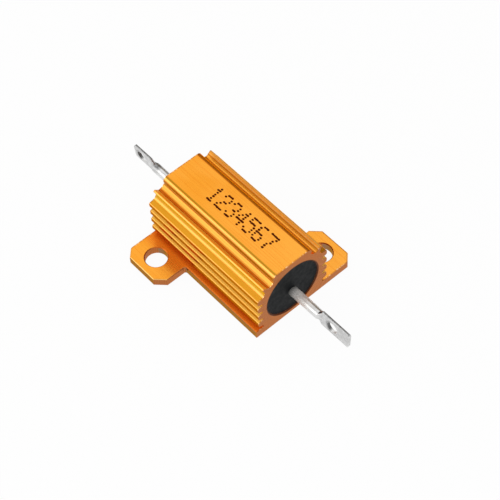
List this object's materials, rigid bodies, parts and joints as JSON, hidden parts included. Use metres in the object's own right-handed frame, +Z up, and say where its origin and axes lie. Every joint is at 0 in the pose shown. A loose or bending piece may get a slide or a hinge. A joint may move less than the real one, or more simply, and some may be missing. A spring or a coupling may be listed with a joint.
{
  "type": "aluminium housed power resistor",
  "caption": "Power resistor: wound ceramic element moulded into a finned gold aluminium housing, with diagonal mounting lugs and a pierced flat terminal at each end.",
  "frame": {"origin": "middle of the flat mounting face under the housing", "axes": "+X along the leads, +Y across the mounting lugs, +Z up from the mounting face"},
  "size_m": [0.0542, 0.028, 0.0137],
  "materials": {
    "anodised_aluminium": "gold anodised, satin, with sawn ends",
    "silicone_moulding": "matt black",
    "ceramic": "unglazed",
    "resistance_wire": "nickel chromium wire",
    "cap_steel": "drawn, plated",
    "tinned_wire": "tinned"
  },
  "bodies": {
    "root": {"housing": "anodised_aluminium", "insulating_moulding": "silicone_moulding", "ceramic_core": "ceramic", "resistance_winding": "resistance_wire", "end_cap_left": "cap_steel", "end_cap_right": "cap_steel", "terminal_left": "tinned_wire", "terminal_right": "tinned_wire"}
  },
  "joints": []
}
